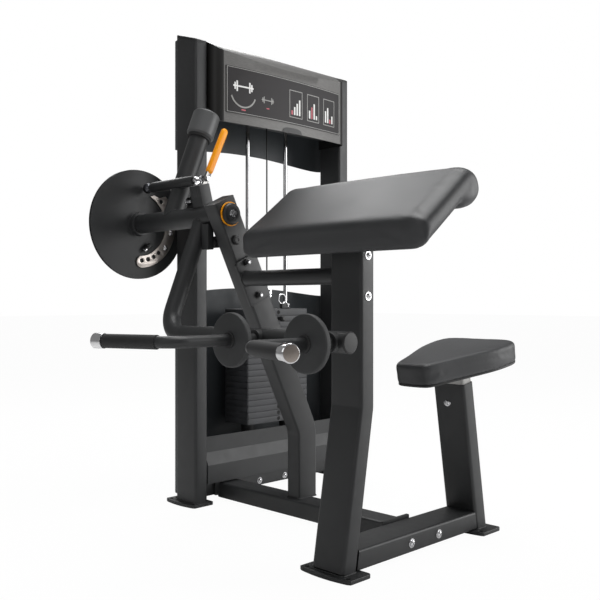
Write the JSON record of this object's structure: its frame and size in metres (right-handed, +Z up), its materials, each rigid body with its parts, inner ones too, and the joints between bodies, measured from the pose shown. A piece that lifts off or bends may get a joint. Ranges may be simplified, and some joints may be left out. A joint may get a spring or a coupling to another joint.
{
  "type": "biceps curl machine",
  "caption": "Weight-stack gym machine with a sloping arm pad, a post-mounted seat and a bent lever arm with two swivelling handles on a pivoted cam.",
  "frame": {"origin": "middle of the footprint's bounding box, on the floor", "axes": "+Z up; the user sits on the +Y side and faces -Y; the weight stack tower stands on the -X side; the arm's pivot axis runs along X"},
  "size_m": [1.209, 1.346, 1.493],
  "materials": {
    "frame_paint": "satin powder coat, charcoal",
    "hood_plastic": "moulded, mid grey",
    "placard_print": null,
    "shield_sheet": "satin slate sheet",
    "chrome": "polished",
    "steel": "brushed",
    "rubber": "matte, black",
    "cable_sheath": "black sheath",
    "black_plastic": "black",
    "plate_iron": "painted dark grey",
    "counterweight_paint": "painted mid grey",
    "amber_plastic": "amber sleeve",
    "leatherette": "grained leatherette over foam, dark grey"
  },
  "bodies": {
    "frame": {"upright_front": "frame_paint", "upright_cap_front": "black_plastic", "upright_rear": "frame_paint", "upright_cap_rear": "black_plastic", "tower_base_rail": "frame_paint", "lower_front_cover": "frame_paint", "header_beam": "frame_paint", "header_shroud": "hood_plastic", "placard": "placard_print", "rear_shield_upper": "shield_sheet", "rear_shield_lower": "shield_sheet", "guide_rod_front": "chrome", "stack_cushion_front": "rubber", "guide_rod_rear": "chrome", "stack_cushion_rear": "rubber", "base_rail": "frame_paint", "seat_rail": "frame_paint", "diagonal_post": "frame_paint", "cross_tube": "frame_paint", "main_post": "frame_paint", "seat_post": "frame_paint", "arm_pad_bracket": "steel", "arm_pad": "leatherette", "pivot_axle": "steel", "pivot_cap": "black_plastic", "stop_bracket": "frame_paint", "cable_run": "cable_sheath", "cable_stack_run": "cable_sheath", "pulley_carrier": "frame_paint", "weight_plate_2": "plate_iron", "weight_plate_3": "plate_iron", "weight_plate_4": "plate_iron", "weight_plate_5": "plate_iron", "weight_plates_lower": "plate_iron"},
    "cam": {"cam_disc": "frame_paint", "index_plate": "steel"},
    "arm": {"arm_hub": "frame_paint", "counterweight_tube": "frame_paint", "counterweight": "counterweight_paint", "index_collar": "chrome", "lever_arm": "frame_paint"},
    "release": {"release_lever": "steel", "release_grip": "amber_plastic"},
    "pin": {"index_pin": "chrome"},
    "handle_right": {"handle_bar_right": "frame_paint", "guard_disc_right": "rubber", "grip_right": "rubber", "grip_cap_right": "steel"},
    "handle_left": {"handle_bar_left": "frame_paint", "guard_disc_left": "rubber", "grip_left": "rubber", "grip_cap_left": "steel"},
    "stack": {"head_plate": "plate_iron", "selector_rod": "steel", "weight_plate_1": "plate_iron"},
    "selector": {"selector_pin": "chrome"},
    "seat": {"seat_slide_tube": "steel", "seat_pad": "leatherette"},
    "front_pulley": {"pulley_front": "black_plastic"},
    "rear_pulley": {"pulley_rear": "black_plastic"}
  },
  "joints": [
    {"name": "cam_turn", "type": "hinge", "parent": "frame", "child": "cam", "pos_m": [-0.55223, -0.19305, 0.879], "axis": [-1, 0, 0], "range_deg": [0, 130]},
    {"name": "start_position", "type": "hinge", "parent": "cam", "child": "arm", "pos_m": [-0.33623, -0.19305, 0.879], "axis": [-1, 0, 0], "range_deg": [0, 100]},
    {"name": "stack_lift", "type": "slide", "parent": "frame", "child": "stack", "axis": [0, 0, 1], "range_m": [0, 0.364], "deforming": ["cable_stack_run"]},
    {"name": "pulley_front_spin", "type": "hinge", "parent": "frame", "child": "front_pulley", "pos_m": [-0.54484, 0.01134, 1.345], "axis": [0.9864, -0.1642, 0], "range_deg": [0, 463]},
    {"name": "pulley_rear_spin", "type": "hinge", "parent": "frame", "child": "rear_pulley", "pos_m": [-0.50462, 0.25306, 1.345], "axis": [0.9864, -0.1642, 0], "range_deg": [0, 463]},
    {"name": "release_tilt", "type": "hinge", "parent": "arm", "child": "release", "pos_m": [-0.23573, -0.19305, 0.953], "axis": [0, 1, 0], "range_deg": [0, 14], "stiffness_Nm_per_rad": 6, "springref_deg": -5.73},
    {"name": "index_pin_draw", "type": "slide", "parent": "arm", "child": "pin", "axis": [1, 0, 0], "range_m": [0, 0.0108]},
    {"name": "handle_right_swivel", "type": "hinge", "parent": "arm", "child": "handle_right", "pos_m": [0.16377, -0.32266, 0.55496], "axis": [0, 1, 0], "range_deg": [-90, 90]},
    {"name": "handle_left_swivel", "type": "hinge", "parent": "arm", "child": "handle_left", "pos_m": [0.40377, -0.32266, 0.55496], "axis": [0, 1, 0], "range_deg": [-90, 90]},
    {"name": "selector_pin_pull", "type": "slide", "parent": "stack", "child": "selector", "axis": [1, 0, 0], "range_m": [0, 0.062]},
    {"name": "seat_slide", "type": "slide", "parent": "frame", "child": "seat", "axis": [0, -0.1673, 0.9859], "range_m": [0, 0.1]}
  ],
  "couplings": [
    {"joint": "stack_lift", "follows": "cam_turn", "m_per_rad": 0.16},
    {"joint": "pulley_front_spin", "follows": "cam_turn", "ratio": 3.5556},
    {"joint": "pulley_rear_spin", "follows": "cam_turn", "ratio": 3.5556},
    {"joint": "index_pin_draw", "follows": "release_tilt", "m_per_rad": 0.0438}
  ]
}
